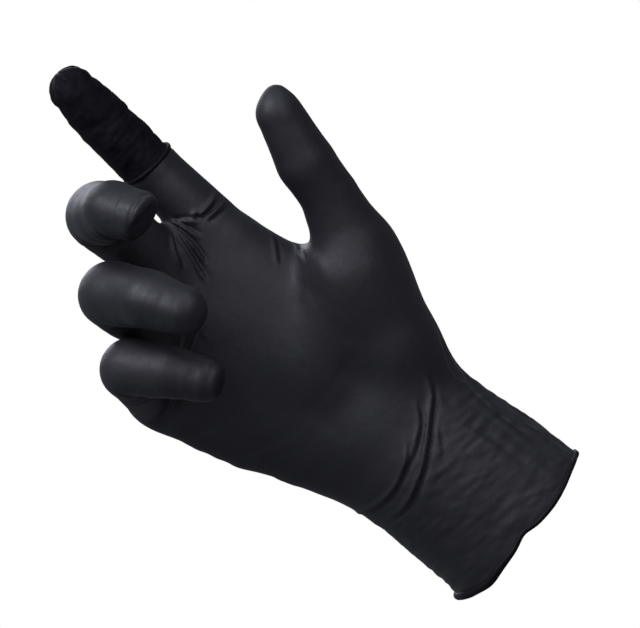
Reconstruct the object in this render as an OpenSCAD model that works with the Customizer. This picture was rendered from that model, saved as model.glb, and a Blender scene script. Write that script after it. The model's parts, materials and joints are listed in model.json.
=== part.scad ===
// Disposable glove in a worn shape, with a finger cot over the index finger.
// Millimetres. +Z runs from the cuff to the fingers, the palm faces -Y and the
// thumb points to +X. The origin is the centre of the cuff's mouth.
// Each finger is a chain of hollow film segments. A segment starts with a ball
// shell that turns inside the end of the segment before it.

/* [Film] */
// Thickness of the stand-in wall
wall = 1.0; // [0.8:0.1:1.4]
// Running gap between a ball shell and the segment around it
gap = 0.4; // [0.3:0.05:0.6]
// Colour of the glove
glove_colour = "#1c1d20"; // [#1c1d20:Black, #2b4a7a:Blue]
// Colour of the finger cot
cot_colour = "#0e0e10"; // [#0e0e10:Black, #c9b48a:Latex]

/* [Cuff] */
// Half width of the cuff
cuff_half_w = 34; // [31:0.5:38]
// Half depth of the cuff
cuff_half_d = 27; // [25:0.5:30]
// How far the mouth's edge dips at its front and back
mouth_dip = 6.5; // [0:0.5:8]
// Radius of the rolled bead
bead_r = 1.3; // [1:0.1:2]

/* [Wrist] */
// Height of the wrist's bending axis above the mouth
wrist_z = 50; // [45:1:55]
// Half width of the wrist
wrist_half_w = 31.5; // [28:0.5:32]
// Half depth of the wrist
wrist_half_d = 21.5; // [18:0.5:22]
// Largest bend of the wrist each way
wrist_bend = 35; // [20:1:40]

/* [Index finger] */
// Knuckle centre
index_base = [11, 4, 148]; // [-60:0.5:160]
// Sideways spread, forward pitch and twist of the bending plane
index_aim = [3, 0, 20]; // [-60:1:60]
// Bend of each joint in the rest shape
index_bend = [3, 4, 4]; // [-10:1:75]
// Length of each segment, the last one to the centre of its round end
index_len = [38.5, 26, 16]; // [10:0.5:50]
// Film radius at the knuckle, at each joint and at the tip
index_r = [9.9, 10.3, 8.6, 7.0]; // [6:0.1:14]

/* [Middle finger] */
// Knuckle centre
middle_base = [-11, 2, 149]; // [-60:0.5:160]
// Sideways spread, forward pitch and twist of the bending plane
middle_aim = [-5, 0, 12]; // [-60:1:60]
// Bend of each joint in the rest shape
middle_bend = [21, 75, 20]; // [-10:1:75]
// Length of each segment, the last one to the centre of its round end
middle_len = [45, 28, 14]; // [10:0.5:50]
// Film radius at the knuckle, at each joint and at the tip
middle_r = [9.8, 11.2, 10.6, 9.6]; // [6:0.1:14]

/* [Ring finger] */
// Knuckle centre
ring_base = [-31.5, 1, 141]; // [-60:0.5:160]
// Sideways spread, forward pitch and twist of the bending plane
ring_aim = [-14, 0, 12]; // [-60:1:60]
// Bend of each joint in the rest shape
ring_bend = [50, 73, 23]; // [-10:1:75]
// Length of each segment, the last one to the centre of its round end
ring_len = [43, 26, 14]; // [10:0.5:50]
// Film radius at the knuckle, at each joint and at the tip
ring_r = [9.8, 10.9, 10.2, 9.0]; // [6:0.1:14]

/* [Little finger] */
// Knuckle centre
little_base = [-51.5, -2, 130]; // [-60:0.5:160]
// Sideways spread, forward pitch and twist of the bending plane
little_aim = [-20, 0, 17]; // [-60:1:60]
// Bend of each joint in the rest shape
little_bend = [65, 75, 18]; // [-10:1:75]
// Length of each segment, the last one to the centre of its round end
little_len = [34, 20, 12]; // [10:0.5:50]
// Film radius at the knuckle, at each joint and at the tip
little_r = [9.4, 9.8, 9.0, 7.8]; // [6:0.1:14]

/* [Thumb] */
// Centre of the thumb's saddle joint
thumb_base = [20, -8, 70]; // [-60:0.5:160]
// Sideways spread, forward pitch and twist of the bending plane
thumb_aim = [26, 8, -45]; // [-60:1:60]
// Bend of each joint in the rest shape
thumb_bend = [0, 9, -6]; // [-10:1:75]
// Length of each segment, the last one to the centre of its round end
thumb_len = [47.5, 36, 20.5]; // [10:0.5:50]
// Film radius at the saddle joint, at each joint and at the tip
thumb_r = [17, 14.5, 11.2, 8.8]; // [6:0.1:20]

/* [Bending range] */
// Largest bend of a knuckle
knuckle_max = 70; // [66:1:72]
// Largest bend of a finger's middle joint
middle_joint_max = 90; // [78:1:90]
// Largest bend of a finger's end joint
end_joint_max = 45; // [30:1:45]
// How far a knuckle bends back
knuckle_back = 10; // [0:1:15]
// How far the thumb's saddle joint turns each way
saddle_turn = 15; // [5:1:20]
// Largest bend of the thumb's middle joint
thumb_middle_max = 50; // [30:1:60]
// Largest bend of the thumb's end joint
thumb_end_max = 65; // [40:1:80]
// How far the thumb's end joint bends back
thumb_back = 10; // [6:1:15]

/* [Finger cot] */
// Film radius of the cot at its rim, at the end joint and at the tip
cot_r = [10.2, 9.8, 8.4]; // [8:0.1:12]
// Distance from the finger's middle joint to the rim
cot_rim_z = 3.6; // [3:0.1:6]
// Radius of the rolled rim
cot_rim_r = 0.9; // [0.6:0.1:1.2]
// Distance from the finger's end joint to the cot's end piece
cot_tip_z = 2.2; // [2:0.1:3]

/* [Hidden] */

$fn = 48;
clear = 0.5;                 // room around every swept segment
slack = 0.3;                 // extra room where one segment turns in another
seat_depth = 0.72;           // reach of a ball shell below its centre, over its radius
neck_height = 0.78;          // height of the straight neck above it, over its radius
cot_wall = 1.05;             // thickness of the cot's sleeve, with its room over the finger
cot_room = 0.6;              // room between the cot's sleeve and its end piece
far = 90;                    // longer than any cut needs to be
around = 44;                 // points around a lofted section
roundness = 2.4;             // superellipse exponent of the palm and cuff
wrist_x = -1;                // the wrist's middle, left of the cuff's

// A finger is [base, aim, bends, lengths, radii, largest bends, smallest bends].
most = [knuckle_max, middle_joint_max, end_joint_max];
least = [-knuckle_back, 0, 0];
index_f = [index_base, index_aim, index_bend, index_len, index_r, most, least];
middle_f = [middle_base, middle_aim, middle_bend, middle_len, middle_r, most, least];
ring_f = [ring_base, ring_aim, ring_bend, ring_len, ring_r, most, least];
little_f = [little_base, little_aim, little_bend, little_len, little_r, most, least];
thumb_f = [thumb_base, thumb_aim, thumb_bend, thumb_len, thumb_r,
    [saddle_turn, thumb_middle_max, thumb_end_max], [-saddle_turn, 0, -thumb_back]];
fingers = [index_f, middle_f, ring_f, little_f];

// ---- Lofted shells ----

function spow(v, e) = sign(v) * pow(abs(v), e);

// One point of a superellipse with half sizes a and b.
function oval(a, b, t) = [a * spow(cos(t), 2 / roundness), b * spow(sin(t), 2 / roundness)];

// A section is [z, left x, right x, front y, back y, dip at the front and back].
function section_ring(s, inset) =
    let(cx = (s[1] + s[2]) / 2, a = (s[2] - s[1]) / 2 - inset,
        cy = (s[3] + s[4]) / 2, b = (s[4] - s[3]) / 2 - inset)
    [for (i = [0 : around - 1])
        let(t = 360 * i / around, p = oval(a, b, t))
        [cx + p[0], cy + p[1], s[0] - s[5] * pow(sin(t), 2)]];

// A closed solid through a list of rings that run upwards.
module loft(rings) {
    n = len(rings[0]);
    m = len(rings);
    sides = [for (j = [0 : m - 2], i = [0 : n - 1])
        [j * n + i, (j + 1) * n + i, (j + 1) * n + (i + 1) % n, j * n + (i + 1) % n]];
    low = [for (i = [0 : n - 1]) i];
    high = [for (i = [n - 1 : -1 : 0]) (m - 1) * n + i];
    polyhedron([for (r = rings) each r], concat(sides, [low, high]), convexity = 6);
}

// The same loft as a tube that is open at both ends.
module tube_loft(sections) {
    first = sections[0];
    last = sections[len(sections) - 1];
    below = [first[0] - 1, first[1], first[2], first[3], first[4], first[5]];
    above = [last[0] + 1, last[1], last[2], last[3], last[4], last[5]];
    difference() {
        loft([for (s = sections) section_ring(s, 0)]);
        loft([for (s = concat([below], sections, [above])) section_ring(s, wall)]);
    }
}

// ---- Finger segments ----

// Puts its children at joint k of finger f, with +Z along segment k.
module at_joint(f, k) {
    if (k == 0) {
        at_socket(f) rotate([f[2][0], 0, 0]) children();
    } else {
        at_joint(f, k - 1) translate([0, 0, f[3][k - 1]]) rotate([f[2][k], 0, 0]) children();
    }
}

// The first joint's frame with that joint straight.
module at_socket(f) {
    translate(f[0])
        rotate([0, f[1][0], 0])
            rotate([f[1][1], 0, 0])
                rotate([0, 0, f[1][2]])
                    children();
}

// A ball, a straight neck under the next dome, and a taper to the far end.
module segment_form(len, ball, start, end, closed) {
    neck = neck_height * ball;
    sphere(ball);
    cylinder(h = neck, r = ball);
    translate([0, 0, neck]) cylinder(h = 2, r1 = ball, r2 = start);
    translate([0, 0, neck + 2]) cylinder(h = len - neck - 2, r1 = start, r2 = end);
    if (closed) translate([0, 0, len]) sphere(end);
}

// The space that a round bar of radius r covers while it turns from one angle
// to another about X; 0 is along +Z and 90 is along -Y.
module swept_bar(r, from, to) {
    hull() {
        sphere(r, $fn = 32);
        rotate([from, 0, 0]) translate([0, 0, far]) sphere(r, $fn = 32);
        rotate([to, 0, 0]) translate([0, 0, far]) sphere(r, $fn = 32);
    }
}

// Segment k of finger f. notch_r is the radius of what bends past its far end,
// and dome is how far a dome over the back of the next joint reaches.
module segment(f, k, notch_r, dome) {
    closed = k == 2;
    length = f[3][k];
    end = f[4][k + 1];
    ball = k == 0 ? f[4][0] : f[4][k] - wall - gap;
    start = k == 0 ? ball : (ball + end) / 2 + slack;
    difference() {
        union() {
            segment_form(length, ball, start, end, closed);
            if (dome > 0) {
                translate([0, 0, length]) intersection() {
                    sphere(end);
                    translate([-far / 2, 0, -1]) cube([far, far, dome + 1]);
                }
            }
        }
        segment_form(length, ball - wall, start - wall, end - wall, closed);
        // The finger's way in: below the ball, and its palm side.
        translate([-far / 2, -far / 2, -far - seat_depth * ball]) cube(far);
        translate([-far / 2, -far, -far]) cube(far);
        if (!closed) translate([0, 0, length]) {
            // The round hollow under the dome, and the ways of the next segment.
            intersection() {
                sphere(end - wall);
                translate([-far / 2, -far / 2, 0]) cube(far);
            }
            cylinder(h = far, r = end - wall - gap + slack);
            rotate([f[5][k + 1], 0, 0]) cylinder(h = far, r = notch_r);
        }
    }
}

// ---- Cuff, wrist and palm ----

// Sections of the cuff, from its mouth to just above the wrist's axis.
cuff_sections = [
    [0, -cuff_half_w, cuff_half_w, -cuff_half_d, cuff_half_d, mouth_dip],
    [8, -cuff_half_w, cuff_half_w, -cuff_half_d, cuff_half_d, 0.6 * mouth_dip],
    [18, -cuff_half_w + 0.5, cuff_half_w - 0.5, 0.5 - cuff_half_d, cuff_half_d - 0.5, 0],
    [34, -cuff_half_w, cuff_half_w - 1.5, 1.5 - cuff_half_d, cuff_half_d - 2, 0],
    [wrist_z, wrist_x - 34, wrist_x + 34, -24.5, 24, 0]
];

// Sections of the round lower end that the palm turns on, at depths below the axis.
function turning_section(depth) =
    let(a = wrist_half_w * pow(1 - pow(depth / wrist_half_d, roundness), 1 / roundness),
        b = sqrt(pow(wrist_half_d, 2) - pow(depth, 2)))
    [wrist_z - depth, wrist_x - a, wrist_x + a, -b, b, 0];

// Sections of the palm, from inside the cuff to above the knuckles.
palm_sections = [
    turning_section(16),
    turning_section(12),
    turning_section(8),
    turning_section(4),
    turning_section(0),
    [60, -37, 32, -21, 20, 0],
    [74, -43, 31, -20, 19, 0],
    [90, -50, 29, -18.5, 18, 0],
    [106, -55, 28, -17, 17, 0],
    [122, -58, 27, -16, 16, 0],
    [138, -60, 25, -14, 17, 0],
    [152, -60, 23, -11, 16, 0]
];

// Line of the knuckles, as [x, z] from the thumb side to the little finger.
knuckle_line = [[60, 150], [11, 150], [-10, 150], [-31, 142], [-50, 131], [-90, 105]];

// Everything above two planes through the wrist's axis that fall away at angle a.
module above_wrist_planes(a) {
    translate([-far, 0, wrist_z]) rotate([90, 0, 90]) linear_extrude(2 * far)
        polygon([[0, 0], [far, -far * tan(a)], [far, 2 * far], [-far, 2 * far], [-far, -far * tan(a)]]);
}

module cuff_bead() {
    s = cuff_sections[0];
    path = section_ring(s, wall / 2);
    sides = 8;
    m = len(path);
    rings = [for (i = [0 : m - 1])
        let(c = path[i] - [0, 0, bead_r + 0.15], n = path[(i + 1) % m] - path[(i + m - 1) % m],
            out = [n[1], -n[0], 0] / norm([n[0], n[1]]))
        for (j = [0 : sides - 1])
            c + bead_r * (cos(360 * j / sides) * out + [0, 0, sin(360 * j / sides)])];
    faces = [for (i = [0 : m - 1], j = [0 : sides - 1])
        [i * sides + j, i * sides + (j + 1) % sides,
         ((i + 1) % m) * sides + (j + 1) % sides, ((i + 1) % m) * sides + j]];
    color(glove_colour) polyhedron(rings, faces, convexity = 6);
}

module cuff() {
    color(glove_colour) difference() {
        tube_loft(cuff_sections);
        above_wrist_planes(wrist_bend + 2);
    }
}

// The palm has no bore, so it is kept as one mesh: a resize to 0 keeps its size.
module palm() {
    color(glove_colour) resize([0, 0, 0]) difference() {
        tube_loft(palm_sections);
        // The knuckles' edge.
        translate([0, far, 0]) rotate([90, 0, 0]) linear_extrude(2 * far)
            polygon(concat(knuckle_line, [[-90, 220], [60, 220]]));
        for (f = fingers) {
            reach = max(f[4][0], f[4][1] - 0.5) + clear;
            at_socket(f) swept_bar(reach, -knuckle_back - 2, knuckle_max + 2);
        }
        at_socket(thumb_f) swept_bar(thumb_f[4][0] + clear, -saddle_turn - 2, saddle_turn + 2);
    }
}

// ---- Finger cot ----

module cot_rim() {
    color(cot_colour) at_joint(index_f, 1) translate([0, 0, cot_rim_z])
        rotate_extrude() translate([cot_r[0] + 0.1, 0]) circle(cot_rim_r, $fn = 24);
}

module cot_sleeve() {
    start = cot_rim_z + cot_rim_r;
    length = index_len[1] - start;
    color(cot_colour) at_joint(index_f, 1) difference() {
        translate([0, 0, start]) cylinder(h = length - cot_room, r1 = cot_r[0], r2 = cot_r[1] + 0.2);
        translate([0, 0, start - 0.1])
            cylinder(h = length + 0.2, r1 = cot_r[0] - cot_wall, r2 = cot_r[1] - cot_wall);
        translate([0, 0, index_len[1]]) rotate([end_joint_max, 0, 0])
            cylinder(h = far, r = cot_r[1] + clear);
    }
}

module cot_tip() {
    start = cot_tip_z;
    inner = index_r[3] + cot_room;
    color(cot_colour) at_joint(index_f, 2) difference() {
        union() {
            translate([0, 0, start]) cylinder(h = index_len[2] - start, r1 = cot_r[1], r2 = cot_r[2]);
            translate([0, 0, index_len[2]]) sphere(cot_r[2]);
        }
        translate([0, 0, start - 0.1]) cylinder(h = index_len[2] - start + 0.1, r = inner);
        translate([0, 0, index_len[2]]) sphere(inner);
    }
}

// ---- One module for each finger segment ----

// A segment in the glove's colour, where a bare one of the same finger bends past it.
// It has a dome over the next joint, unless that joint also bends back.
module glove_segment(f, k) {
    next_r = f[4][min(k + 1, 3)];
    dome = k < 2 && f[6][k + 1] >= 0 ? 0.7 * next_r : 0;
    color(glove_colour) at_joint(f, k) segment(f, k, next_r + clear, dome);
}

module thumb_base_segment() { glove_segment(thumb_f, 0); }
module thumb_middle_segment() { glove_segment(thumb_f, 1); }
module thumb_tip_segment() { glove_segment(thumb_f, 2); }

// The cot bends past the index finger's first two segments, so their notches are
// wider and their domes stop short of it.
module index_base_segment() {
    color(glove_colour) at_joint(index_f, 0)
        segment(index_f, 0, cot_r[0] + cot_rim_r + clear, cot_rim_z - cot_rim_r - 1);
}
module index_middle_segment() {
    color(glove_colour) at_joint(index_f, 1)
        segment(index_f, 1, cot_r[1] + clear, cot_tip_z - 1);
}
module index_tip_segment() { glove_segment(index_f, 2); }

module middle_base_segment() { glove_segment(middle_f, 0); }
module middle_middle_segment() { glove_segment(middle_f, 1); }
module middle_tip_segment() { glove_segment(middle_f, 2); }

module ring_base_segment() { glove_segment(ring_f, 0); }
module ring_middle_segment() { glove_segment(ring_f, 1); }
module ring_tip_segment() { glove_segment(ring_f, 2); }

module little_base_segment() { glove_segment(little_f, 0); }
module little_middle_segment() { glove_segment(little_f, 1); }
module little_tip_segment() { glove_segment(little_f, 2); }

cuff_bead();
cuff();
palm();
thumb_base_segment();
thumb_middle_segment();
thumb_tip_segment();
index_base_segment();
index_middle_segment();
index_tip_segment();
middle_base_segment();
middle_middle_segment();
middle_tip_segment();
ring_base_segment();
ring_middle_segment();
ring_tip_segment();
little_base_segment();
little_middle_segment();
little_tip_segment();
cot_rim();
cot_sleeve();
cot_tip();
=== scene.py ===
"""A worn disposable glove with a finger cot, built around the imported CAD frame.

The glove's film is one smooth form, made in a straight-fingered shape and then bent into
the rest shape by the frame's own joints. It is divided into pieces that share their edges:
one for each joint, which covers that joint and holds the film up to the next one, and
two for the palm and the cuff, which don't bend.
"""
import json
import math

import bpy
import numpy as np
from mathutils import Matrix, Vector


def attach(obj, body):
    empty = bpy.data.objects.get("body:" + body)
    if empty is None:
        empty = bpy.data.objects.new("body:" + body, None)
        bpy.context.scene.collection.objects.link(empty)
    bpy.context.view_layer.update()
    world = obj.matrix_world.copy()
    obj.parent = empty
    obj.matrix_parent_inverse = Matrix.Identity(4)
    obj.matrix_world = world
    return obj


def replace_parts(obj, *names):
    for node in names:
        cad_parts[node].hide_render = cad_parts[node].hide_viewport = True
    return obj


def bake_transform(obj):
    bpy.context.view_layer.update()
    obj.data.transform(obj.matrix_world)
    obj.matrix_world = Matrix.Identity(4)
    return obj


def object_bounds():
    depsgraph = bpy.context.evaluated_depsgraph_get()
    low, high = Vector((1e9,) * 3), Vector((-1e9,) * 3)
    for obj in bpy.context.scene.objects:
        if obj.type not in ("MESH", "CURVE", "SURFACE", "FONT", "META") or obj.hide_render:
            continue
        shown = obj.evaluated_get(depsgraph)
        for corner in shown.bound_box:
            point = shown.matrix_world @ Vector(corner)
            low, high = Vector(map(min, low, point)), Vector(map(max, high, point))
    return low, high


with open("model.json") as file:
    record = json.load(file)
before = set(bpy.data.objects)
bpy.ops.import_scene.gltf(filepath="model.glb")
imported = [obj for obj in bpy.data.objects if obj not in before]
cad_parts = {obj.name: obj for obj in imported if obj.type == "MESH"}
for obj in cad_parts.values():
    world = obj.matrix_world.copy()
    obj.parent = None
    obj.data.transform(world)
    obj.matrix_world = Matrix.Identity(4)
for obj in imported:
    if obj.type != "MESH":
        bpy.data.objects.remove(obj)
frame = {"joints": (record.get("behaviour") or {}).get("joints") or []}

CAD_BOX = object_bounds()
MM = 0.001                      # lengths below are in millimetres

# ---------------------------------------------------------------------------
# The hand's skeleton, read from the frame
# ---------------------------------------------------------------------------

JOINTS = {j["name"]: j for j in frame["joints"]}
SEGMENTS = ("base", "middle", "tip")

# bend: the film's bend at each joint in the rest shape, in degrees. tip: from the end joint to the centre
# of the round end. radii: the film's half width at the knuckle, the joints and the end.
# flat: thickness over width. zones: the stretch that bends at each joint.
DIGITS = {
    "index": dict(bend=(3, 4, 4), tip=16.5, radii=(12.1, 10.8, 9.2, 7.8), flat=0.96,
                  zones=((-11, 13), (-10, 2.5), (-6, 6))),
    "middle": dict(bend=(21, 75, 38), tip=14.0, radii=(11.4, 12.5, 10.6, 9.8), flat=0.97,
                   zones=((-11, 14), (-13, 13), (-6, 6))),
    "ring": dict(bend=(50, 73, 23), tip=15.5, radii=(11.2, 12.4, 11.3, 9.4), flat=0.97,
                 zones=((-11, 14), (-12.5, 13), (-6, 6))),
    "little": dict(bend=(65, 75, 18), tip=14.0, radii=(9.2, 11.3, 10.0, 8.4), flat=0.97,
                   zones=((-11, 12), (-11, 11), (-5, 5))),
    "thumb": dict(bend=(0, 9, -6), tip=21.0, radii=(16.5, 14.4, 11.6, 9.2), flat=0.93,
                  zones=((-8, 30), (-12, 12), (-9, 9))),
}
FINGERS = ("index", "middle", "ring", "little")


def joints_of(digit):
    """Names of a digit's three joints, from the hand to the tip."""
    first = "thumb_saddle" if digit == "thumb" else digit + "_knuckle"
    return first, digit + "_middle_joint", digit + "_end_joint"


def turn(axis, degrees):
    """Rotation matrix about an axis."""
    return np.array(Matrix.Rotation(math.radians(degrees), 3, Vector(axis)))


class Digit:
    """One finger: its straight frame at the first joint, and its joints along +z."""

    def __init__(self, name, bend, tip, radii, flat, zones):
        joints = [JOINTS[joint] for joint in joints_of(name)]
        points = [np.array(j["pos_m"]) / MM for j in joints]
        # The thumb's joints open with a positive angle, and the fingers' joints bend.
        side = np.array(joints[0]["axis"]) * (-1 if name == "thumb" else 1)
        along = turn(side, -bend[0]) @ (points[1] - points[0])
        along = along / np.linalg.norm(along)
        self.origin = points[0]
        self.basis = np.stack([side, np.cross(along, side), along], 1)
        lengths = [np.linalg.norm(points[1] - points[0]), np.linalg.norm(points[2] - points[1]), tip]
        self.stops = np.concatenate([[0], np.cumsum(lengths)])
        self.bend = bend
        self.radii = radii
        self.flat = flat
        self.zones = zones

    def local(self, points):
        """Straight-shape points in the finger's frame: x across, y to the back, z along."""
        return (points - self.origin) @ self.basis

    def world(self, local):
        return local @ self.basis.T + self.origin

    def share(self, z, k):
        """How far a point at height z has turned with joint k, from 0 to 1."""
        low, high = self.zones[k]
        return smooth(z, self.stops[k] + low, self.stops[k] + high)

    def centres(self):
        """The joints' centres and the tip's in the straight shape."""
        return [self.world(np.array([[0, 0, stop]]))[0] for stop in self.stops]

    def bent(self, local, reach=1):
        """Local points moved from the straight shape to the rest shape, or as far as reach lets them."""
        p = local.copy()
        z = local[:, 2]
        for k in (2, 1, 0):
            angle = np.radians(self.bend[k]) * self.share(z, k) * reach
            c, s = np.cos(angle), np.sin(angle)
            y, h = p[:, 1].copy(), p[:, 2] - self.stops[k]
            p[:, 1] = y * c - h * s
            p[:, 2] = y * s + h * c + self.stops[k]
        return p


def smooth(x, low, high):
    """0 below low, 1 above high, and an S between them."""
    t = np.clip((x - low) / (high - low), 0, 1)
    return t * t * (3 - 2 * t)


DIGIT = {name: Digit(name, **facts) for name, facts in DIGITS.items()}

# ---------------------------------------------------------------------------
# Smooth noise, the same at every run
# ---------------------------------------------------------------------------


def noise(points, seed):
    """Smooth noise from -1 to 1 with a cell of 1 unit."""
    cell = np.floor(points).astype(np.int64)
    f = points - cell
    u = f * f * (3 - 2 * f)
    total = np.zeros(len(points))
    for dx in (0, 1):
        for dy in (0, 1):
            for dz in (0, 1):
                h = ((cell[:, 0] + dx) * 73856093) ^ ((cell[:, 1] + dy) * 19349663)
                h = h ^ ((cell[:, 2] + dz) * 83492791) ^ (seed * 2654435761)
                h = (h ^ (h >> 13)) * 1274126177
                value = ((h ^ (h >> 16)) & 0xFFFF) / 32767.5 - 1
                weight = np.abs(1 - dx - u[:, 0]) * np.abs(1 - dy - u[:, 1]) * np.abs(1 - dz - u[:, 2])
                total += value * weight
    return total


def layered(points, seed):
    """Noise with two finer and weaker layers on top."""
    total = np.zeros(len(points))
    for k in range(3):
        total += noise(points * 2 ** k, seed + k) / 2 ** k
    return total / 1.6


def folds(points, seed):
    """Narrow lines from 0 to 1, with flat ground between them."""
    return np.clip(1 - np.abs(noise(points, seed)) * 3.2, 0, 1) ** 2


def around(angle, radius, height):
    """Points on a cylinder, where noise meets itself after a full turn."""
    return np.stack([radius * np.cos(angle), radius * np.sin(angle), height], 1)


# ---------------------------------------------------------------------------
# The film's form in the straight-fingered shape, as a signed distance
# ---------------------------------------------------------------------------

STEP = 0.8      # grid spacing
LOW = np.array([-88.0, -48.0, -24.0])  # corners of the grid
HIGH = np.array([84.0, 34.0, 254.0])
FAR = 50.0                             # distance given to the empty grid
SLEEVE_TOP = 182                       # height above which there are only fingers
ROOM = 12                              # room round a limb, where it blends into the hand

# The sleeve of the cuff and palm: its edges at each height.
#          height, left,  right, front, back
SLEEVE = np.array([
    [-30, -34.0, 35.2, -27.0, 27.0],
    [0, -34.0, 35.2, -27.0, 27.0],
    [10, -33.2, 34.3, -26.5, 26.5],
    [22, -33.2, 32.8, -26.0, 26.0],
    [34, -33.4, 31.2, -25.0, 24.5],
    [46, -34.4, 30.5, -23.5, 22.5],
    [54, -36.0, 30.4, -22.0, 21.0],
    [66, -39.9, 29.5, -20.5, 19.5],
    [80, -44.6, 29.0, -18.5, 18.0],
    [94, -48.3, 28.0, -17.5, 17.0],
    [108, -51.4, 27.0, -17.0, 16.5],
    [122, -54.2, 26.6, -16.0, 16.0],
    [134, -56.8, 25.2, -14.0, 15.5],
    [150, -59.8, 22.2, -10.5, 13.0],
    [170, -59.5, 19.6, -6.0, 9.0],
])
MOUTH_DIP = 6.0                        # how far the mouth's edge hangs down at the front
NICK_X = -1.2                          # place of the small nick in it
ROUND = 2.15                           # exponent of the sleeve's superellipse


def spline(z, column):
    """A smooth curve through one column of SLEEVE."""
    zs, vs = SLEEVE[:, 0], SLEEVE[:, column]
    slopes = np.gradient(vs, zs)
    i = np.clip(np.searchsorted(zs, z) - 1, 0, len(zs) - 2)
    h = zs[i + 1] - zs[i]
    t = np.clip((z - zs[i]) / h, 0, 1)
    a = (1 + 2 * t) * (1 - t) ** 2
    b = t * (1 - t) ** 2 * h
    c = t * t * (3 - 2 * t)
    d = t * t * (t - 1) * h
    return a * vs[i] + b * slopes[i] + c * vs[i + 1] + d * slopes[i + 1]


def sleeve_sizes(z):
    """Centre and half size of the sleeve in x, then in y."""
    left, right, front, back = (spline(z, k) for k in (1, 2, 3, 4))
    return (left + right) / 2, (right - left) / 2, (front + back) / 2, (back - front) / 2


def web_height(x):
    """Height of the sleeve's top end, which shows as the webs between the fingers."""
    raised = 3.5 * np.exp(-((x + 1) / 5) ** 2)
    return 166 + raised - 0.0085 * np.clip(-2 - x, 0, None) ** 2 - 0.05 * np.clip(x - 5, 0, None) ** 2


def sleeve_distance(x, y, z):
    """Signed distance to the cuff and palm, which is negative inside."""
    cx, a, cy, b = sleeve_sizes(z)
    u, v = np.abs((x - cx) / a), np.abs((y - cy) / b)
    rho = (u ** ROUND + v ** ROUND) ** (1 / ROUND) + 1e-6
    grad = np.sqrt(((u / rho) ** (ROUND - 1) / a) ** 2 + ((v / rho) ** (ROUND - 1) / b) ** 2)
    side = (rho - 1) / grad
    return smooth_max(side, z - web_height(x), 10)


def smooth_min(a, b, k):
    """The smaller of two distances, rounded where they are less than k apart."""
    h = np.clip(0.5 + 0.5 * (b - a) / k, 0, 1)
    return b + (a - b) * h - k * h * (1 - h)


def smooth_max(a, b, k):
    return -smooth_min(-a, -b, k)


def cone_distance(p, a, b, ra, rb, back=None, flat=1.0):
    """Distance to a bar with round ends, from radius ra at a to rb at b."""
    if back is not None:
        p = p + np.multiply.outer(((p - a) @ back) * (1 / flat - 1), back)
    ab = b - a
    t = np.clip(((p - a) @ ab) / float(ab @ ab), 0, 1)
    near = p - a - np.multiply.outer(t, ab)
    return np.sqrt((near ** 2).sum(-1)) - (ra + (rb - ra) * t)


class Grid:
    """A signed distance sampled on a regular grid."""

    def __init__(self):
        self.axes = [np.arange(LOW[i], HIGH[i], STEP) for i in range(3)]
        self.value = np.full([len(a) for a in self.axes], FAR, np.float32)

    def part(self, low, high):
        """The slices between two corners, and their points."""
        cut = []
        for i in range(3):
            start = max(int((low[i] - LOW[i]) / STEP), 0)
            cut.append(slice(start, max(int((high[i] - LOW[i]) / STEP) + 2, start + 1)))
        x, y, z = (self.axes[i][cut[i]] for i in range(3))
        return tuple(cut), np.stack(np.meshgrid(x, y, z, indexing="ij"), -1)


def corners_of(bars):
    """Two corners of a box with room round some bars."""
    ends = np.array([e for bar in bars for e in (bar[0], bar[1])])
    margin = max(max(bar[2], bar[3]) for bar in bars) + ROOM
    return ends.min(0) - margin, ends.max(0) + margin


def chain(grid, bars, within):
    """A limb of bars, each (a, b, radius at a, radius at b, back, flat), rounded into each other."""
    cut, p = grid.part(*corners_of(bars))
    limb = cone_distance(p, *bars[0])
    for bar in bars[1:]:
        limb = smooth_min(limb, cone_distance(p, *bar), within)
    return cut, limb.astype(np.float32)


# The thumb's end past its last centre, and the flatter corner of its tip.
THUMB_END = (-0.6, 0, 0.6)
THUMB_CORNER = (3.6, 0, 4.0)
# How far the film over each finger's middle joint, and over its end joint, lies off the joint's centre.
NUDGE = {
    "index": ((0, 0, 0), (0, 0, 0)),
    "middle": ((-0.5, 0, -1.1), (-1.6, 0, 0.4)),
    "ring": ((0.3, 0, -0.8), (0, 0, 0)),
    "little": ((0.3, 0, -0.7), (0, 0, 0)),
}
# Film folded flat over a fingertip: how far past its last centre, its lean and its roundness.
FLAT_END = {"middle": (2.2, 24, 1.2), "little": (6.6, 0, 3)}
# The fold's place past the tip's centre, its height, and how it slants across.
TIP_FOLD = {"middle": (5.2, 0.9, 0.1), "little": (5.6, 0.5, 0)}


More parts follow.
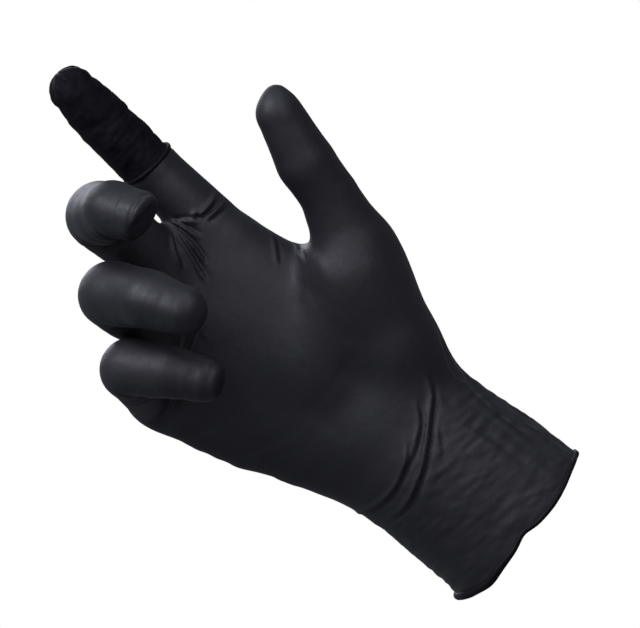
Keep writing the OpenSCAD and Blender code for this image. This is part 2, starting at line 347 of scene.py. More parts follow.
def glove_form():
    """The whole film's form: the sleeve, then the thumb's pads and bars, then the fingers."""
    grid = Grid()
    cut, p = grid.part(LOW, np.array([HIGH[0], HIGH[1], SLEEVE_TOP]))
    grid.value[cut] = sleeve_distance(p[..., 0], p[..., 1], p[..., 2])
    thumb = DIGIT["thumb"]
    r = thumb.radii
    stops = thumb.centres()
    back = thumb.basis[:, 1]
    heel = stops[0] + np.array([-12, 2, -10])
    waist = 0.42 * stops[1] + 0.58 * stops[2] + np.array([1.2, 0, -0.5])
    end = stops[3] + np.array(THUMB_END)
    corner = end + np.array(THUMB_CORNER)
    # Each limb's bars, how far they round into each other, and how far into the hand.
    pads = [
        # The ball of the thumb.
        ([(heel, stops[0], 8.0, r[0] - 6), (stops[0], stops[1], r[0] - 6, r[1] - 1.6)], 10, 12),
        ([(np.array([24.5, -10.5, 79]), np.array([35, -13.8, 103]), 13.3, 13.7)], 4, 12),
        # Film stretched over the hollow of the palm.
        ([(np.array([-2, -6, 96]), np.array([29, -13, 104]), 11.5, 12.8)], 4, 16),
        # The web between the thumb and the index finger.
        ([(np.array([14, 5, 117]), np.array([33, -3, 107.6]), 10, 9.6)], 4, 12),
        # The thumb.
        ([(stops[1], waist, r[1], 11.2, back, thumb.flat),
          (waist, stops[2], 11.2, r[2], back, thumb.flat),
          (stops[2], end, r[2], r[3], back, thumb.flat),
          (end, corner, r[3], 5.8, back, thumb.flat)], 1, 4),
    ]
    for bars, within, to_hand in pads:
        cut, limb = chain(grid, bars, within)
        grid.value[cut] = smooth_min(grid.value[cut], limb, to_hand)
    hand = grid.value.copy()
    for name in FINGERS:
        d = DIGIT[name]
        r = d.radii
        stops = d.centres()
        stops[1] = stops[1] + np.array(NUDGE[name][0])
        stops[2] = stops[2] + np.array(NUDGE[name][1])
        back = d.basis[:, 1]
        # The bone behind the knuckle keeps the back of the hand full.
        root = stops[0] + np.array([-0.2 * (stops[0][0] + 8), 2, -36])
        bars = [(root, stops[0], r[0] - 1.5, r[0] + 0.3)]
        bars += [(stops[k], stops[k + 1], r[k], r[k + 1], back, d.flat) for k in range(3)]
        if name == "middle":
            # Loose film along the middle segment, and past the tip.
            loose = 0.5 * (stops[1] + stops[2]) + np.array([-0.9, 0, 0])
            bars += [(stops[1], loose, r[1], 11.8, back, d.flat)]
            bars += [(loose, stops[2], 11.8, r[2], back, d.flat)]
            bars += [(stops[3], stops[3] + 3.5 * d.basis[:, 2], r[3], r[3] - 0.6, back, d.flat)]
        cut, limb = chain(grid, bars, 1)
        if name in FLAT_END:
            reach, lean, soft = FLAT_END[name]
            facing = d.basis @ turn((1, 0, 0), lean)[:, 2]
            plane = (grid.part(*corners_of(bars))[1] - stops[3]) @ facing - reach
            limb = smooth_max(limb, plane.astype(np.float32), soft)
        grid.value[cut] = smooth_min(grid.value[cut], smooth_min(hand[cut], limb, 6), 1.5)
    return grid


# ---------------------------------------------------------------------------
# From the distance grid to a mesh of quads
# ---------------------------------------------------------------------------


def surface(grid):
    """Vertices and quads of the zero surface (surface nets)."""
    f = grid.value
    inside = f < 0
    shape = np.array(f.shape) - 1
    corners = [(i, j, k) for i in (0, 1) for j in (0, 1) for k in (0, 1)]

    def corner(a, c):
        return a[c[0]:c[0] + shape[0], c[1]:c[1] + shape[1], c[2]:c[2] + shape[2]]

    count = sum(corner(inside, c).astype(np.int8) for c in corners)
    mixed = (count > 0) & (count < 8)
    cells = np.argwhere(mixed)
    number = np.full(mixed.shape, -1, np.int64)
    number[mixed] = np.arange(len(cells))
    total = np.zeros((len(cells), 3))
    hits = np.zeros(len(cells))
    at = [f[tuple((cells + c).T)] for c in corners]
    for a in range(8):
        for b in range(a + 1, 8):
            step = np.array(corners[b]) - np.array(corners[a])
            if np.abs(step).sum() != 1:
                continue
            fa, fb = at[a], at[b]
            cross = (fa < 0) != (fb < 0)
            t = np.where(cross, fa / np.where(cross, fa - fb, 1), 0)
            point = np.array(corners[a]) + t[:, None] * step
            total += np.where(cross[:, None], point, 0)
            hits += cross
    verts = (cells + total / hits[:, None]) * STEP + LOW
    quads = []
    for axis in range(3):
        u, v = (axis + 1) % 3, (axis + 2) % 3
        lower = [slice(None)] * 3
        upper = [slice(None)] * 3
        lower[axis], upper[axis] = slice(0, -1), slice(1, None)
        a, b = inside[tuple(lower)], inside[tuple(upper)]
        edges = np.argwhere(a != b)
        keep = (edges[:, u] > 0) & (edges[:, v] > 0)
        keep &= (edges[:, u] < shape[u]) & (edges[:, v] < shape[v])
        edges = edges[keep]
        du, dv = np.eye(3, dtype=int)[u], np.eye(3, dtype=int)[v]
        ring = [edges - du - dv, edges - dv, edges, edges - du]
        quad = np.stack([number[tuple(e.T)] for e in ring], 1)
        out = a[tuple(edges.T)]
        quad[~out] = quad[~out][:, ::-1]
        quads.append(quad)
    return verts, np.concatenate(quads)


def neighbours_mean(verts, quads):
    """Mean of each vertex's edge neighbours."""
    total = np.zeros_like(verts)
    count = np.zeros(len(verts))
    for i in range(4):
        a, b = quads[:, i], quads[:, (i + 1) % 4]
        for p, q in ((a, b), (b, a)):
            for c in range(3):
                total[:, c] += np.bincount(p, verts[q, c], len(verts))
            count += np.bincount(p, minlength=len(verts))
    return total / np.maximum(count, 1)[:, None]


def relaxed(verts, quads, rounds, keep):
    """The mesh smoothed a few times, with the kept vertices where they were."""
    for _ in range(rounds):
        moved = verts + 0.6 * (neighbours_mean(verts, quads) - verts)
        moved[keep] = verts[keep]
        verts = moved
    return verts


def normals_of(verts, quads):
    """Unit normals of the vertices, from the quads round each."""
    a = verts[quads[:, 2]] - verts[quads[:, 0]]
    b = verts[quads[:, 3]] - verts[quads[:, 1]]
    face = np.cross(a, b)
    total = np.zeros_like(verts)
    for i in range(4):
        for c in range(3):
            total[:, c] += np.bincount(quads[:, i], face[:, c], len(verts))
    return total / np.maximum(np.linalg.norm(total, axis=1), 1e-12)[:, None]


def mouth_height(x, y):
    """Height of the cuff's edge where the film reaches (x, y), with a small nick at the front."""
    cx, a, cy, b = sleeve_sizes(np.zeros_like(x))
    angle = np.arctan2((y - cy) / b, (x - cx) / a)
    wave = 0.35 * np.sin(3 * angle + 0.7) + 0.25 * np.sin(7 * angle)
    front = smooth(-y, 0, 8)
    nick = front * 1.6 * np.exp(-((x - NICK_X) / 4.6) ** 2)
    nick += 0.5 * smooth(x, 22, 33)
    low_side = smooth(-x, 5, 27) * (1.2 + 1.7 * front * np.exp(-((x + 24) / 7) ** 2))
    low_side = low_side - 1.2 * smooth(-x, 30, 34)
    dip = np.where(y < cy, MOUTH_DIP, 0.4 * MOUTH_DIP)
    return wave + nick - low_side - dip * np.sin(angle) ** 2


def only_used(verts, quads):
    """Numbers of the vertices that the quads use, and the quads in terms of those."""
    used = np.unique(quads)
    number = np.full(len(verts), -1)
    number[used] = np.arange(len(used))
    return used, number[quads]


def edges_of(quads):
    return np.concatenate([quads[:, [i, (i + 1) % 4]] for i in range(4)])


def open_mouth(verts, quads):
    """Cuts the form off at the cuff's edge and drops what is below."""
    above = verts[:, 2] - mouth_height(verts[:, 0], verts[:, 1])
    keep = (above[quads] > -0.3 * STEP).all(1)
    used, quads = only_used(verts, quads[keep])
    verts = verts[used]
    edge = border(quads)
    verts[edge, 2] = mouth_height(verts[edge, 0], verts[edge, 1])
    return verts, quads


def border(quads):
    """Vertices on an open edge."""
    unique, count = np.unique(np.sort(edges_of(quads), 1), axis=0, return_counts=True)
    return np.unique(unique[count == 1])


# ---------------------------------------------------------------------------
# Bending the straight shape into the rest shape
# ---------------------------------------------------------------------------

WRIST_BEND = (36, 58)                  # heights between which the film bends at the wrist
THUMB_WEB = np.array([30.0, 126.0])    # x and z of the web between the thumb and the index finger
THUMB_LINE = math.radians(15)          # direction of the line that splits the two above the web


def finger_shares(p):
    """How much each finger owns a point, as an array with a column for each finger."""
    splits = []
    for a, b in zip(FINGERS, FINGERS[1:]):
        da, db = DIGIT[a], DIGIT[b]
        za, zb = da.local(p), db.local(p)
        # Signed distance from the plane half way between the two fingers' axes.
        away = np.hypot(za[:, 0], za[:, 1]) - np.hypot(zb[:, 0], zb[:, 1])
        height = (za[:, 2] + zb[:, 2]) / 2
        soft = 9 - 7.6 * smooth(height, 8, 32)
        splits.append(smooth(away / 2, -soft, soft))
    shares = np.ones((len(p), 4))
    for k, split in enumerate(splits):
        shares[:, k] *= 1 - split
        shares[:, k + 1:] *= split[:, None]
    return shares


def thumb_side(p):
    """Distance from the line that splits the thumb from the index finger, positive on the thumb."""
    across, up = p[:, 0] - THUMB_WEB[0], p[:, 2] - THUMB_WEB[1]
    return across * math.cos(THUMB_LINE) - up * math.sin(THUMB_LINE)


def thumb_share(p):
    """How much the thumb owns a point, against the index finger."""
    return smooth(thumb_side(p), -3, 3)


def thumb_reach(local, full, none):
    """1 on the thumb, falling to 0 across its web towards the palm."""
    thumb = DIGIT["thumb"]
    palmward = np.array([-1.0, 0, 0]) @ thumb.basis
    palmward[2] = 0
    palmward /= np.linalg.norm(palmward)
    return 1 - smooth(local @ palmward, full, none)


def rest_shape(p):
    """Points of the straight shape moved to the rest shape."""
    shares = finger_shares(p)
    thumb = DIGIT["thumb"]
    local = thumb.local(p)
    turned = thumb.bent(local, thumb_reach(local, 11, 19))
    owned = thumb_share(p)[:, None]
    moved = p + owned * (thumb.world(turned) - p)
    for k, name in enumerate(FINGERS):
        d = DIGIT[name]
        moved += (1 - owned) * shares[:, k:k + 1] * (d.world(d.bent(d.local(p))) - p)
    return moved


def joint_weights(p):
    """For each digit, how far each point follows the joints: columns saddle or knuckle, middle, end.

    A later joint takes hold only where the film already follows the earlier one in full, so that
    no piece tears from the next.
    """
    shares = finger_shares(p)
    owned = thumb_share(p)
    weights = {}
    for k, name in enumerate(FINGERS):
        d = DIGIT[name]
        z = d.local(p)[:, 2]
        mine = np.clip(3.2 * shares[:, k] - 1.6, 0, 1) * np.clip(1 - 2 * owned, 0, 1)
        early, late = np.clip(2.5 * mine, 0, 1), np.clip(2.5 * mine - 1.25, 0, 1)
        weights[name] = np.stack([d.share(z, 0) * early, d.share(z, 1) * late, d.share(z, 2) * late], 1)
    thumb = DIGIT["thumb"]
    local = thumb.local(p)
    z = local[:, 2]
    side = thumb_side(p)
    saddle = thumb.share(z, 0) * thumb_reach(local, 19, 36) * smooth(p[:, 2], 58, 68) * smooth(side, 0, 3.8)
    middle = thumb.share(z, 1) * thumb_reach(local, 11.5, 17.5) * smooth(side, 5.6, 8.9)
    end = thumb.share(z, 2) * (side > 0)
    weights["thumb"] = np.stack([saddle, middle, end], 1)
    return weights


# ---------------------------------------------------------------------------
# Wrinkles: how far the film stands out, in millimetres, at points of the straight shape
# ---------------------------------------------------------------------------


def line_distance(p, line):
    """Signed distance from a line of (x, z) points, and how far along it from 0 to 1."""
    flat = p[:, [0, 2]]
    line = np.array(line, float)
    best = np.full(len(p), 1e9)
    signed = np.zeros(len(p))
    along = np.zeros(len(p))
    for k, (a, b) in enumerate(zip(line, line[1:])):
        d = b - a
        t = np.clip(((flat - a) @ d) / (d @ d), 0, 1)
        gap = flat - a - t[:, None] * d
        size = np.hypot(gap[:, 0], gap[:, 1])
        near = size < best
        best = np.where(near, size, best)
        signed = np.where(near, size * np.sign(gap[:, 0] * d[1] - gap[:, 1] * d[0]), signed)
        along = np.where(near, (k + t) / (len(line) - 1), along)
    return signed, along


def fold(p, line, width, height):
    """A raised fold with a groove along one side, following a line on the palm's side."""
    away, along = line_distance(p, line)
    away = away + 0.25 * noise(p / 5, 31)
    side = smooth(-p[:, 1], -2, 7)
    fade = smooth(along, 0, 0.22) * (1 - smooth(along, 0.75, 1)) * (along > 0) * (along < 1)
    ridge = np.exp(-(away / width) ** 2)
    groove = np.exp(-((away + 1.7 * width) / (0.9 * width)) ** 2)
    return height * side * fade * (ridge - 0.75 * groove)


def curve(points, count=24):
    """A smooth line through a few (x, z) points."""
    points = np.array(points, float)
    t = np.linspace(0, len(points) - 1, count)
    k = np.clip(t.astype(int), 0, len(points) - 2)
    f = (t - k)[:, None]
    padded = np.concatenate([[2 * points[0] - points[1]], points, [2 * points[-1] - points[-2]]])
    a, b, c, d = padded[k], padded[k + 1], padded[k + 2], padded[k + 3]
    # A Catmull-Rom spline.
    square, cube = 2 * a - 5 * b + 4 * c - d, 3 * b - a - 3 * c + d
    return 0.5 * (2 * b + (c - a) * f + square * f ** 2 + cube * f ** 3)


# Folds on the palm's side: the points of each in x and z, its half width and its height.
PALM_FOLDS = [
    # Across the wrist.
    ([(22.5, 64), (16.3, 54.8), (5.1, 46.8), (-5.6, 40.5), (-13.7, 37.3), (-22, 35.6),
      (-33, 38.5)], 1.0, 1.3),
    ([(11.5, 58.5), (5.1, 51.2), (-5.1, 46.2), (-14, 43.8)], 0.9, 0.8),
    ([(-1.3, 51.5), (-10, 45.7), (-20.9, 42.8), (-32.4, 45.8), (-36, 49.5)], 1.0, 1.1),
    ([(9.4, 46.9), (4, 41), (-0.7, 36)], 1.0, 0.4),
    # A long loose fold down the cuff's thumb side.
    ([(31, 60), (28.4, 48.5), (27.6, 40.6), (27.5, 30.8), (29.2, 20.2), (31, 10.8), (32.4, 1)], 0.8, 1.3),
    ([(33, 40), (31.4, 32), (30.9, 24), (32, 14)], 0.7, 0.8),
    # From the gap between the index and middle fingers.
    ([(3, 171), (4, 165), (5.8, 157.5)], 0.8, 1.1),
    ([(2.6, 170), (6.5, 166), (10.5, 161.5)], 0.8, 0.9),
    ([(1.5, 171), (1, 160), (-1.2, 150)], 0.9, 1.2),
    ([(0.5, 170), (-2.5, 158), (-5.5, 144)], 0.9, 1.0),
    ([(-1, 170), (-5.5, 166), (-9, 158.5)], 0.9, 1.0),
    # Across the index finger's base.
    ([(24.5, 164.5), (17, 163), (10.5, 164)], 0.9, 1.4),
    ([(24.5, 159), (16.5, 160), (12, 161.5)], 0.9, 1.0),
    ([(13, 164.5), (10.5, 165.5), (8.5, 164)], 0.8, 0.9),
    # By the thumb's web.
    ([(25.5, 139.5), (20, 133), (15.5, 128.5)], 0.8, 0.6),
    ([(28.2, 132), (25.2, 126), (22.8, 121.5)], 0.7, 0.5),
]


def cuff_wrinkles(p):
    """Fine ripples round the cuff, and looser folds running up its thumb side."""
    x, y, z = p.T
    cuff = 1 - smooth(z, 40, 56)
    angle = np.arctan2(y, x)
    ring = around(angle, 4.2, (z + 4 * angle) / 2.5)
    ripple = 0.34 * noise(ring, 11) + 0.24 * noise(ring * [1.9, 1.9, 1.5], 12)
    patches = 0.6 + 0.4 * noise(p / 14, 14)
    slow = 0.45 * layered(p / 19, 13)
    thumbward = smooth(x, 8, 24)
    slack = np.stack([angle * 9 + 0.5 * noise(p / 9, 16), z / 26, z * 0], 1)
    loose = 1.1 * thumbward * noise(slack, 15) * (1 - smooth(z, 56, 72))
    return cuff * (ripple * patches + slow) + loose


def wrinkles(p):
    """Everything that stands out of the smooth form."""
    d = cuff_wrinkles(p)
    d += 0.16 * layered(p / 12, 21) * smooth(p[:, 2], 40, 60)
    for line, width, height in PALM_FOLDS:
        d += fold(p, curve(line), width, height)
    # Ripples across the outer edge of the palm.
    edge = smooth(-p[:, 0], 24, 42) * smooth(p[:, 2], 52, 64) * (1 - smooth(p[:, 2], 112, 126))
    across = np.stack([p[:, 0] / 30, p[:, 1] / 22, (p[:, 2] + 0.5 * p[:, 0]) / 3.2], 1)
    d += 0.5 * edge * noise(across, 41) * (0.5 + 0.5 * noise(p / 10, 42))
    return d + joint_wrinkles(p)


def joint_wrinkles(p):
    """Creases round each bent joint, deepest inside the bend."""
    total = np.zeros(len(p))
    shares = finger_shares(p)
    for k, name in enumerate(FINGERS):
        d = DIGIT[name]
        local = d.local(p)
        away = np.hypot(local[:, 0], local[:, 1])
        on = (shares[:, k] > 0.6) & (away < 20)
        for joint in (0, 1, 2):
            bend = d.bend[joint]
            if bend < 15:
                continue
            height = local[:, 2] - d.stops[joint]
            reach = 5 + 0.08 * bend
            near = np.exp(-(height / reach) ** 2)
            inner = smooth(-local[:, 1], -7, 5)
            wave = noise(np.stack([local[:, 0] / 16 + joint, local[:, 1] / 22, height / 2.3], 1), 50 + k)
            crease = np.clip(1 - 3 * np.abs(wave), 0, 1)
            relief = 0.8 * wave - 0.45 * crease
            total += np.where(on, min(bend / 60, 1) * near * inner * relief, 0)
        # Fine creases across the loose film of the end segment, and long slack folds.
        end = smooth(local[:, 2], d.stops[2] - 6, d.stops[2] + 4)
        fine = noise(np.stack([local[:, 0] / 9, local[:, 1] / 9, local[:, 2] / 1.9], 1), 60 + k)
        slack = noise(np.stack([local[:, 0] / 5, local[:, 1] / 5, local[:, 2] / 15], 1), 65 + k)
        patch = 0.5 + 0.5 * noise(local / 8, 68 + k)
        if name in FLAT_END:
            # The edge where the film folds flat over the fingertip.
            reach, height, lean = TIP_FOLD[name]
            past = local[:, 2] - d.stops[3] - reach + lean * local[:, 0]
            dorsal = smooth(local[:, 1], -4, 5)
            total += np.where(on, height * dorsal * np.exp(-(past / 0.9) ** 2), 0)
            total -= np.where(on, 0.5 * height * dorsal * np.exp(-((past + 2.2) / 1.1) ** 2), 0)
        total += np.where(on & (d.bend[1] > 15), end * (0.26 * fine * patch + 0.25 * slack), 0)
        if name == "index":
            # Pressed in under the cot.
            total -= np.where(on, 0.9 * smooth(local[:, 2], d.stops[1] + 1.4, d.stops[1] + 3.6), 0)
    return total


# ---------------------------------------------------------------------------
# The whole film, and its division into pieces
# ---------------------------------------------------------------------------

FILM = 0.3                             # thickness of the film
STRAIGHT_ROUNDS = 4                    # rounds of smoothing, before and after the film is bent
REST_ROUNDS = 14


def build_film():
    """The film's vertices in the straight shape and in the rest shape, and its quads."""
    straight, quads = surface(glove_form())
    straight, quads = open_mouth(straight, quads)
    edge = border(quads)
    straight = relaxed(straight, quads, STRAIGHT_ROUNDS, edge)
    rest = rest_shape(straight)
    rest = relaxed(rest, quads, REST_ROUNDS, edge)
    normals = normals_of(rest, quads)
    rest = rest + normals * wrinkles(straight)[:, None]
    return straight, rest, quads


def placed(name, mesh, material):
    """An object in the scene for a mesh."""
    obj = bpy.data.objects.new(name, mesh)
    bpy.context.scene.collection.objects.link(obj)
    obj.data.materials.append(material)
    return obj


def part_mesh(name, verts, normals, quads, material):
    """A thin closed shell of some of the film's quads, with the whole film's normals."""
    used, local = only_used(verts, quads)
    outer = verts[used]
    n = normals[used]
    count = len(used)
    edges = edges_of(local)
    key = np.sort(edges, 1)
    _, first, times = np.unique(key, axis=0, return_index=True, return_counts=True)
    rim = edges[first[times == 1]]
    walls = np.stack([rim[:, 1], rim[:, 0], rim[:, 0] + count, rim[:, 1] + count], 1)
    faces = np.concatenate([local, local[:, ::-1] + count, walls])
    points = np.concatenate([outer, outer - n * FILM]) * MM
    mesh = bpy.data.meshes.new(name)
    mesh.vertices.add(len(points))
    mesh.vertices.foreach_set("co", points.astype(np.float32).ravel())
    mesh.loops.add(faces.size)
    mesh.loops.foreach_set("vertex_index", faces.ravel().astype(np.int32))
    mesh.polygons.add(len(faces))
    mesh.polygons.foreach_set("loop_start", np.arange(0, faces.size, 4, dtype=np.int32))
    mesh.update(calc_edges=True)
    mesh.validate()
    mesh.normals_split_custom_set_from_vertices(np.concatenate([n, -n]).tolist())
    return placed(name, mesh, material), used


def bend_across(obj, weights):
    """Bakes the piece's transform into its mesh; weights is not used."""
    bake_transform(obj)


def blended(name, verts, normals, quads, weights, material):
    """A part of the film across a joint, as a thin shell, with its transform baked."""
    obj, used = part_mesh(name, verts, normals, quads, material)
    bend_across(obj, np.concatenate([weights[used], weights[used]]))
    return obj


def make_glove(material, rolled):
    """The glove: the film's pieces in one material, and the cuff's bead in a darker, duller copy of it,
    which paints shade on the roll.
    """
    straight, rest, quads = build_film()
    normals = normals_of(rest, quads)
    weights = joint_weights(straight)
    wrist = smooth(straight[:, 2], *WRIST_BEND)
    owner = np.full(len(quads), "palm", dtype=object)
    for name, table in weights.items():
        for k, segment in enumerate(SEGMENTS):
            owner[(table[quads, k] > 0).any(1)] = f"{name}_{segment}"
    owner[(wrist[quads] < 1).any(1)] = "wrist"
    owner[(wrist[quads] == 0).all(1)] = "cuff"
    for name in ("cuff", "palm"):
        obj, _ = part_mesh("glove_" + name, rest, normals, quads[owner == name], material)
        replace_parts(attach(obj, name), name)
    faces = quads[owner == "wrist"]
    blended("glove_wrist", rest, normals, faces, wrist, material)
    for name, table in weights.items():
        for k, segment in enumerate(SEGMENTS):
            faces = quads[owner == f"{name}_{segment}"]
            part_name = f"glove_{name}_{segment}"
            obj = blended(part_name, rest, normals, faces, table[:, k], material)
            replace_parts(obj, f"{name}_{segment}_segment")
    make_bead(rest, quads, rolled)


# ---------------------------------------------------------------------------
# The rolled edge of the cuff, and the finger cot
# ---------------------------------------------------------------------------


def new_mesh(name, points, faces, material):
    """A smooth mesh piece from points in millimetres."""
    mesh = bpy.data.meshes.new(name)
    mesh.from_pydata((points * MM).tolist(), [], faces)
    mesh.validate()
    mesh.polygons.foreach_set("use_smooth", [True] * len(mesh.polygons))
    obj = placed(name, mesh, material)
    return obj


def grid_faces(rows, columns, closed=False):
    """Quads between rows of points that each go round; closed also joins the last row to the first."""
    j, i = np.meshgrid(np.arange(rows if closed else rows - 1), np.arange(columns), indexing="ij")
    a, b = j * columns + i, j * columns + (i + 1) % columns
    c, d = (j + 1) % rows * columns + (i + 1) % columns, (j + 1) % rows * columns + i
    return np.stack([a, b, c, d], -1).reshape(-1, 4)


ROLL_SIDES = 12                        # sides of a roll of film


def rolled_ring(path, outward, radius):
    """A roll of film along a closed path: radius is a number for each point."""
    ahead = np.roll(path, -1, 0) - np.roll(path, 1, 0)
    ahead /= np.linalg.norm(ahead, axis=1)[:, None]
    up = np.cross(ahead, outward)
    up /= np.linalg.norm(up, axis=1)[:, None]
    angle = 2 * np.pi * np.arange(ROLL_SIDES) / ROLL_SIDES
    ring = np.cos(angle)[None, :, None] * outward[:, None] + np.sin(angle)[None, :, None] * up[:, None]
    points = path[:, None] + ring * radius[:, None, None]
    return points.reshape(-1, 3), grid_faces(len(path), ROLL_SIDES, closed=True).tolist()


def make_bead(rest, quads, material):
    """The rolled bead along the mouth's edge, thicker on the little finger's side, in a darker copy of the
    film that paints shade on it.
    """
    edge = border(quads)
    angle = np.arctan2(rest[edge, 1], rest[edge, 0])
    order = np.argsort(angle)
    path, angle = rest[edge][order], angle[order]
    steps = np.linspace(-np.pi, np.pi, 300, endpoint=False)
    path = np.stack([np.interp(steps, angle, path[:, c], period=2 * np.pi) for c in range(3)], 1)
    for _ in range(2):
        path = 0.5 * path + 0.25 * (np.roll(path, 1, 0) + np.roll(path, -1, 0))
    outward = path * [1, 1, 0]
    outward /= np.linalg.norm(outward, axis=1)[:, None]
    wobble = noise(around(steps, 4, steps * 0), 61)
    radius = 1.05 + 0.1 * wobble + 0.6 * smooth(-path[:, 0], 4, 20)
    centre = path - outward * 0.1 - np.array([0, 0, 0.6])
    points, faces = rolled_ring(centre, outward, radius)
    bead = new_mesh("glove_cuff_bead", points, faces, material)
    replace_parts(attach(bead, "cuff"), "cuff_bead")


COT_START = 3.6                        # from the index finger's middle joint to the cot's rim
COT_STOPS = (0, 8, 16, 24, 31, 39)     # distances along the cot, and its half width at each
COT_RADII = (10.6, 10.5, 10.3, 10.0, 9.7, 8.8)
COT_LENGTH = 39                        # from the rim to the centre of the round end
COT_DRIFT = 0.7                        # how far its loose end hangs to one side
COT_SAG = 1.4                          # how far the rim bows towards the hand at the front
COT_FLAT = 0.97                        # its thickness over its width
COT_STEP = 18                          # where its loose end is pushed down over the rest
ROW = 0.62                             # distance between its rows of points


def cot_point(along, angle, out):
    """Points of the straight cot in the index finger's frame: out is added to the radius."""
    d = DIGIT["index"]
    radius = np.interp(along, COT_STOPS, COT_RADII)
    over = np.clip(along - COT_LENGTH, 0, None)
    end = COT_RADII[-1]
    radius = np.where(over > 0, end * np.sqrt(np.clip(1 - (over / end) ** 2, 0, 1)), radius) + out
    bow = -COT_SAG * np.clip(-np.sin(angle), -0.3, 1) * (1 - smooth(along, 0, 14))
    z = d.stops[1] + COT_START + along + bow
    aside = -COT_DRIFT * smooth(along, 0, COT_LENGTH)
    return np.stack([aside + radius * np.cos(angle), COT_FLAT * radius * np.sin(angle), z], -1)


def cot_wrinkles(along, angle):
    """Loose film: slanting folds round the cot, deeper near the joint and on the tip."""
    x, y = np.cos(angle), np.sin(angle)
    slant = along / 4.6 + 0.8 * x
    rings = noise(around(angle, 1.3, slant), 71)
    fine = noise(around(angle, 3, along / 1.9), 72)
    length = noise(around(angle, 3.6, along / 17), 73)
    loose = 0.55 + 0.45 * noise(around(angle, 1, along / 15), 74)
    creases = around(angle, 0.9, along / 2.7 + 0.7 * x * y)
    total = loose * (0.75 * rings + 0.35 * fine + 0.3 * length) - 0.4 * loose * folds(creases, 77)
    # A step on the thumb's side, where the loose end is pushed down over the rest.
    step = along - COT_STEP + 3.0 * np.sin(angle - 0.4)
    total += 0.8 * smooth(x, -0.2, 0.8) * (smooth(step, -0.4, 0.9) - 0.4) * (1 - smooth(step, 1, 15))
    # The puckered end.
    pucker = smooth(along, COT_LENGTH + 1, COT_LENGTH + 7)
    total += 0.55 * pucker * np.cos(7 * angle + 2 * noise(around(angle, 2, along / 4), 75))
    return total * smooth(along, 0, 2.5)


def index_rest(local):
    """Local points of the index finger moved to the rest shape, in the frame."""
    d = DIGIT["index"]
    return d.world(d.bent(local))


def make_cot(material):
    """The cot's film, an outer and an inner layer closed at the rim, and its rolled rim."""
    d = DIGIT["index"]
    columns = 160
    end = COT_LENGTH + COT_RADII[-1] - 0.05
    rows = int(end / ROW)
    t = np.linspace(0, 1, rows)
    ease = np.where(t < 0.8, t, 0.8 + 0.2 * np.sin((t - 0.8) / 0.2 * np.pi / 2))
    along, angle = np.meshgrid(ease * end, 2 * np.pi * np.arange(columns) / columns, indexing="ij")
    along, angle = along.ravel(), angle.ravel()
    out = cot_wrinkles(along, angle)
    layers = []
    for sink in (0, FILM):
        local = cot_point(along, angle, out - sink)
        point = cot_point(np.array([end + 0.05 - sink]), np.array([0.0]), np.array([0.0]))
        point[0, 0] = -COT_DRIFT
        layers.append(np.concatenate([local, point]))
    count = len(along) + 1
    last = (rows - 1) * columns
    quads = grid_faces(rows, columns)
    ring = np.arange(columns)
    cap = np.stack([last + ring, last + (ring + 1) % columns, np.full(columns, count - 1)], 1)
    rim = np.stack([ring, ring + count, (ring + 1) % columns + count, (ring + 1) % columns], 1)
    faces = quads.tolist() + cap.tolist() + (quads[:, ::-1] + count).tolist()
    faces += (cap[:, ::-1] + count).tolist() + rim.tolist()
    local = np.concatenate(layers)
    sleeve = new_mesh("cot_sleeve_film", index_rest(local), faces, material)
    bend_across(sleeve, d.share(local[:, 2], 2))
    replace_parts(sleeve, "cot_sleeve", "cot_tip")
    steps = 2 * np.pi * np.arange(200) / 200
    path = cot_point(steps * 0, steps, 0.12 * noise(around(steps, 3, steps * 0), 76))
    outward = around(steps, 1, steps * 0)
    path, outward = index_rest(path), outward @ d.basis.T
    points, faces = rolled_ring(path, outward, 0.85 + 0.1 * np.sin(5 * steps))
    rim = new_mesh("cot_rolled_rim", points, faces, material)
    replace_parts(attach(rim, "index_middle"), "cot_rim")


# ---------------------------------------------------------------------------
# Materials
# ---------------------------------------------------------------------------


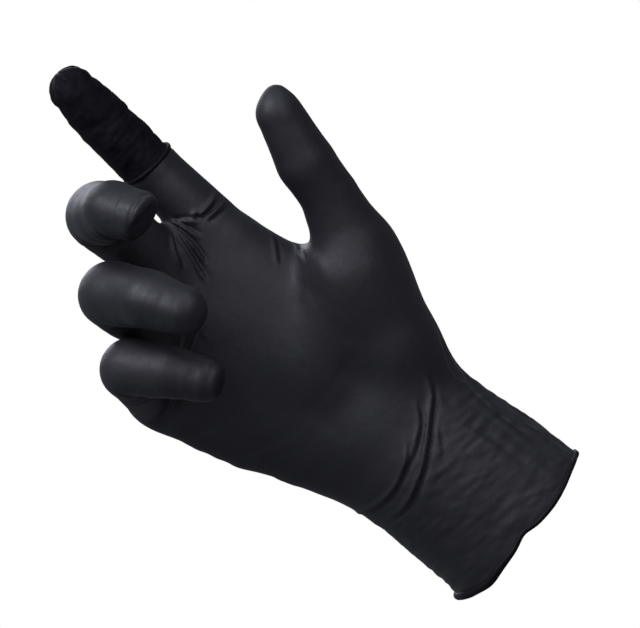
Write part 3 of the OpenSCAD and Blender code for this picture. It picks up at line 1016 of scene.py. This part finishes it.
def film_material(name, base, light, rough, bump, level=None, tint=None):
    """Dipped film: its colour clouds from base to light, its gloss varies, and a fine grain dulls it.

    level and tint are the shader's specular level and tint, where they differ from the usual.
    """
    m = bpy.data.materials.new(name)
    m.use_nodes = True
    nodes, links = m.node_tree.nodes, m.node_tree.links
    shader = nodes["Principled BSDF"]
    shader.inputs["IOR"].default_value = 1.5
    if level is not None:
        shader.inputs["Specular IOR Level"].default_value = level
    if tint is not None:
        shader.inputs["Specular Tint"].default_value = tint
    place = nodes.new("ShaderNodeTexCoord").outputs["Object"]

    def cloud(scale, detail):
        node = nodes.new("ShaderNodeTexNoise")
        node.inputs["Scale"].default_value = scale
        node.inputs["Detail"].default_value = detail
        node.inputs["Roughness"].default_value = 0.55
        links.new(place, node.inputs["Vector"])
        return node.outputs["Fac"]

    def ranged(value, low, high):
        node = nodes.new("ShaderNodeMapRange")
        node.inputs["From Min"].default_value = 0.3
        node.inputs["From Max"].default_value = 0.7
        node.inputs["To Min"].default_value = low
        node.inputs["To Max"].default_value = high
        links.new(value, node.inputs["Value"])
        return node.outputs["Result"]

    colour = nodes.new("ShaderNodeMix")
    colour.data_type = "RGBA"
    colour.inputs["A"].default_value = (*base, 1)
    colour.inputs["B"].default_value = (*light, 1)
    links.new(ranged(cloud(26, 4), 0, 1), colour.inputs["Factor"])
    links.new(colour.outputs["Result"], shader.inputs["Base Color"])

    # Cloudy gloss, with small dull and bright specks where the powder was washed off.
    gloss = nodes.new("ShaderNodeMath")
    gloss.operation = "ADD"
    links.new(ranged(cloud(38, 5), rough - 0.05, rough + 0.06), gloss.inputs[0])
    links.new(ranged(cloud(900, 2), -0.04, 0.04), gloss.inputs[1])
    links.new(gloss.outputs[0], shader.inputs["Roughness"])

    # A fine grain over small dents.
    dents = nodes.new("ShaderNodeBump")
    dents.inputs["Strength"].default_value = bump
    dents.inputs["Distance"].default_value = 0.0006
    links.new(cloud(230, 3), dents.inputs["Height"])
    grain = nodes.new("ShaderNodeBump")
    grain.inputs["Strength"].default_value = 0.35 * bump
    grain.inputs["Distance"].default_value = 0.0001
    links.new(cloud(2600, 2), grain.inputs["Height"])
    links.new(dents.outputs["Normal"], grain.inputs["Normal"])
    links.new(grain.outputs["Normal"], shader.inputs["Normal"])
    return m


# ---------------------------------------------------------------------------
# Floor, light and camera
# ---------------------------------------------------------------------------


# Lamps: place, what they point at, diameter, and power in watts.
LAMPS = {
    "key": ((-0.12, -0.45, 1.23), (0, 0, 0.12), 0.6, 8.2),
    "front": ((-0.02, -1.06, 0.67), (0.02, 0, 0.11), 0.6, 1.2),
    "near": ((0.174, -0.30, 0.205), (0.035, -0.03, 0.125), 0.2, 0.16),
    "top": ((0.83, -0.51, 0.82), (0, 0, 0.12), 0.6, 1.6),
    "back": ((0.1, 0.95, 0.8), (0, 0, 0.1), 0.8, 5),
}
LAMP_COLOUR = (0.88, 0.885, 1.0)
FLOOR_DROP = 0.0015                    # the floor lies this far below the CAD, under the bead
CAMERA_AT = (0.0127, -0.9, 0.1052)
VIEW_WIDTH = 0.2368                    # what the camera sees across, in metres
HAND_LEAN = 50                         # how far the glove leans over in the photograph, in degrees


def floor():
    """A pale floor, which throws little light back on the black film."""
    bpy.ops.mesh.primitive_plane_add(size=8, location=(0, 0, CAD_BOX[0][2] - FLOOR_DROP))
    plane = bpy.context.object
    plane.name = "floor"
    m = bpy.data.materials.new("pale_floor")
    m.use_nodes = True
    nodes, links = m.node_tree.nodes, m.node_tree.links
    shader = nodes["Principled BSDF"]
    shader.inputs["Roughness"].default_value = 0.9
    seen = nodes.new("ShaderNodeLightPath")
    colour = nodes.new("ShaderNodeMix")
    colour.data_type = "RGBA"
    colour.inputs["A"].default_value = (0.16, 0.16, 0.17, 1)
    colour.inputs["B"].default_value = (0.93, 0.93, 0.93, 1)
    links.new(seen.outputs["Is Camera Ray"], colour.inputs["Factor"])
    links.new(colour.outputs["Result"], shader.inputs["Base Color"])
    plane.data.materials.append(m)


def lamp(name, place, target, size, power):
    """A round area light."""
    data = bpy.data.lights.new(name, "AREA")
    data.shape = "DISK"
    data.size = size
    data.color = LAMP_COLOUR
    data.energy = power
    light = bpy.data.objects.new(name, data)
    light.location = place
    direction = Vector(target) - Vector(place)
    light.rotation_euler = direction.to_track_quat("-Z", "Y").to_euler()
    bpy.context.scene.collection.objects.link(light)


def studio():
    floor()
    for name, facts in LAMPS.items():
        lamp(name, *facts)
    # The world is white to look at, and lights the scene softly.
    world = bpy.data.worlds.new("studio")
    bpy.context.scene.world = world
    world.use_nodes = True
    nodes, links = world.node_tree.nodes, world.node_tree.links
    seen = nodes.new("ShaderNodeLightPath")
    white = nodes.new("ShaderNodeBackground")
    white.inputs["Color"].default_value = (1, 1, 1, 1)
    soft = nodes["Background"]
    soft.inputs["Color"].default_value = (0.85, 0.9, 1, 1)
    soft.inputs["Strength"].default_value = 0.25
    mix = nodes.new("ShaderNodeMixShader")
    links.new(seen.outputs["Is Camera Ray"], mix.inputs["Fac"])
    links.new(soft.outputs[0], mix.inputs[1])
    links.new(white.outputs[0], mix.inputs[2])
    links.new(mix.outputs[0], nodes["World Output"].inputs["Surface"])
    bpy.context.scene.view_settings.view_transform = "Standard"


def camera():
    """Looks along +Y at the palm side, with the hand leaning as it does in the photograph."""
    data = bpy.data.cameras.new("camera")
    data.type = "ORTHO"
    data.ortho_scale = VIEW_WIDTH
    view = bpy.data.objects.new("camera", data)
    lean = Matrix.Rotation(math.radians(HAND_LEAN), 4, "Y")
    upright = Matrix.Rotation(math.radians(90), 4, "X")
    view.matrix_world = Matrix.Translation(CAMERA_AT) @ lean @ upright
    bpy.context.scene.collection.objects.link(view)
    bpy.context.scene.camera = view


camera()
studio()
glove_film = film_material("glove_film", (0.0115, 0.0113, 0.0148), (0.0175, 0.0172, 0.0218), 0.54, 0.3)
cot_film = film_material("cot_film", (0.0014, 0.0012, 0.0022), (0.0036, 0.0031, 0.0052), 0.68, 0.4,
                         level=0.2, tint=(0.86, 0.82, 1, 1))
# A darker, less glossy copy of the glove film for the cuff's bead: painted shade, standing in for the shade
# on the roll's downward-facing side.
bead_shade_film = film_material("bead_shade_film", (0.003, 0.0029, 0.004), (0.0055, 0.0053, 0.007), 0.55, 0.25,
                            level=0.25)
make_glove(glove_film, bead_shade_film)
make_cot(cot_film)
